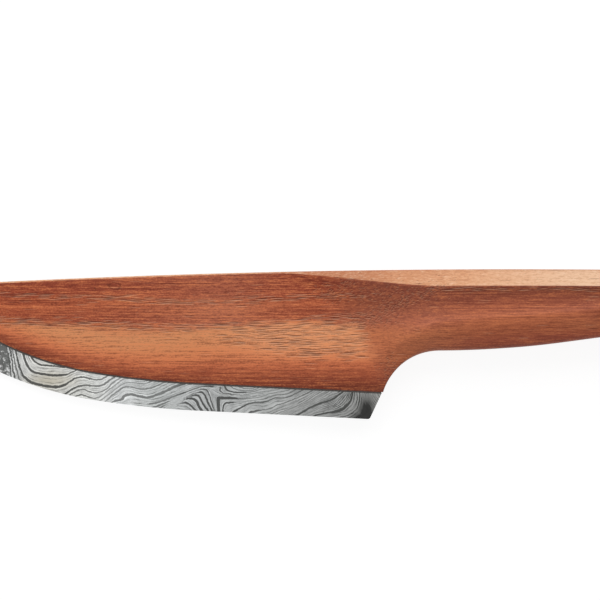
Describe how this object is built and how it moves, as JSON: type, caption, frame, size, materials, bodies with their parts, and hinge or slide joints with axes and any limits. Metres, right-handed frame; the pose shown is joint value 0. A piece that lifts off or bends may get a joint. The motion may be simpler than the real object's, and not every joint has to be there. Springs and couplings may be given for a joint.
{
  "type": "chef knife",
  "caption": "Chef knife with a one-piece wooden blade body and handle and a narrow pattern-welded steel cutting strip set along its lower edge.",
  "frame": {"origin": "bottom centre of the knife's box, with the knife lying on its side", "axes": "+X from the tip to the butt of the handle, +Y from the cutting edge to the spine, +Z square to the side of the blade"},
  "size_m": [0.3122, 0.05, 0.02],
  "materials": {
    "hardwood": "oiled, sanded fine, open grain",
    "patterned_steel": "ground, polished and etched so that the layers show",
    "dark_adhesive": "cured, matt"
  },
  "bodies": {
    "root": {"wood_body": "hardwood", "cutting_strip": "patterned_steel", "adhesive_bed": "dark_adhesive"}
  },
  "joints": []
}
